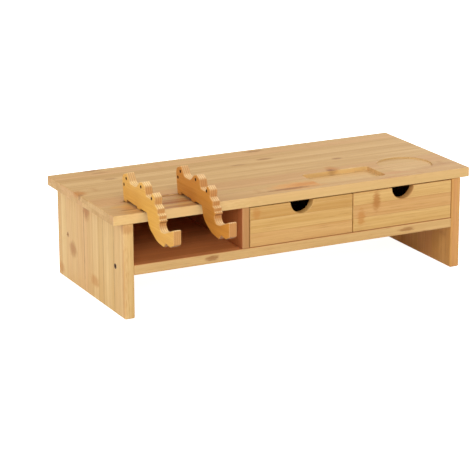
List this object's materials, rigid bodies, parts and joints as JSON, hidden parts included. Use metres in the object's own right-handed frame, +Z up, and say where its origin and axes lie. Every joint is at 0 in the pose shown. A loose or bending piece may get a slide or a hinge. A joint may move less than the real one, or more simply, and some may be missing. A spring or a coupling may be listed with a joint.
{
  "type": "monitor stand with storage",
  "caption": "Low bamboo monitor stand with an open bay, small drawers with half-round finger cut-outs, a pen tray, a cup rest and scalloped plug-in hook arms.",
  "frame": {"origin": "on the floor, at the bottom centre of the overall box, hook arms included", "axes": "+X along the width, drawers and hooks face -Y, +Z up"},
  "size_m": [0.54, 0.3234, 0.1837],
  "materials": {
    "board_bamboo": "clear matt lacquer",
    "panel_bamboo": "clear matt lacquer",
    "shelf_bamboo": "clear matt lacquer",
    "inner_bamboo": "sanded",
    "drawer_front_bamboo": "clear matt lacquer",
    "hook_bamboo": "clear satin lacquer",
    "dowel_wood": "turned",
    "screw_steel": "zinc plated",
    "rubber": "matt"
  },
  "bodies": {
    "frame": {"top_board": "board_bamboo", "left_panel": "panel_bamboo", "right_panel": "panel_bamboo", "shelf": "shelf_bamboo", "divider": "panel_bamboo", "middle_partition": "panel_bamboo", "back_panel": "inner_bamboo", "foot_pads": "rubber", "board_dowels": "dowel_wood", "shelf_screws": "screw_steel", "upright_screws": "screw_steel", "back_screws": "screw_steel"},
    "left_drawer": {"left_drawer_front": "drawer_front_bamboo", "left_drawer_left_side": "inner_bamboo", "left_drawer_right_side": "inner_bamboo", "left_drawer_back": "inner_bamboo", "left_drawer_base": "inner_bamboo", "left_drawer_dowels": "dowel_wood"},
    "right_drawer": {"right_drawer_front": "drawer_front_bamboo", "right_drawer_left_side": "inner_bamboo", "right_drawer_right_side": "inner_bamboo", "right_drawer_back": "inner_bamboo", "right_drawer_base": "inner_bamboo", "right_drawer_dowels": "dowel_wood"},
    "left_hook": {"left_hook_arm": "hook_bamboo"},
    "right_hook": {"right_hook_arm": "hook_bamboo"}
  },
  "joints": [
    {"name": "left_drawer_slide", "type": "slide", "parent": "frame", "child": "left_drawer", "axis": [0, -1, 0], "range_m": [0, 0.15]},
    {"name": "right_drawer_slide", "type": "slide", "parent": "frame", "child": "right_drawer", "axis": [0, -1, 0], "range_m": [0, 0.15]},
    {"name": "left_hook_lift", "type": "slide", "parent": "frame", "child": "left_hook", "axis": [0, 0, 1], "range_m": [0, 0.05]},
    {"name": "right_hook_lift", "type": "slide", "parent": "frame", "child": "right_hook", "axis": [0, 0, 1], "range_m": [0, 0.05]}
  ]
}
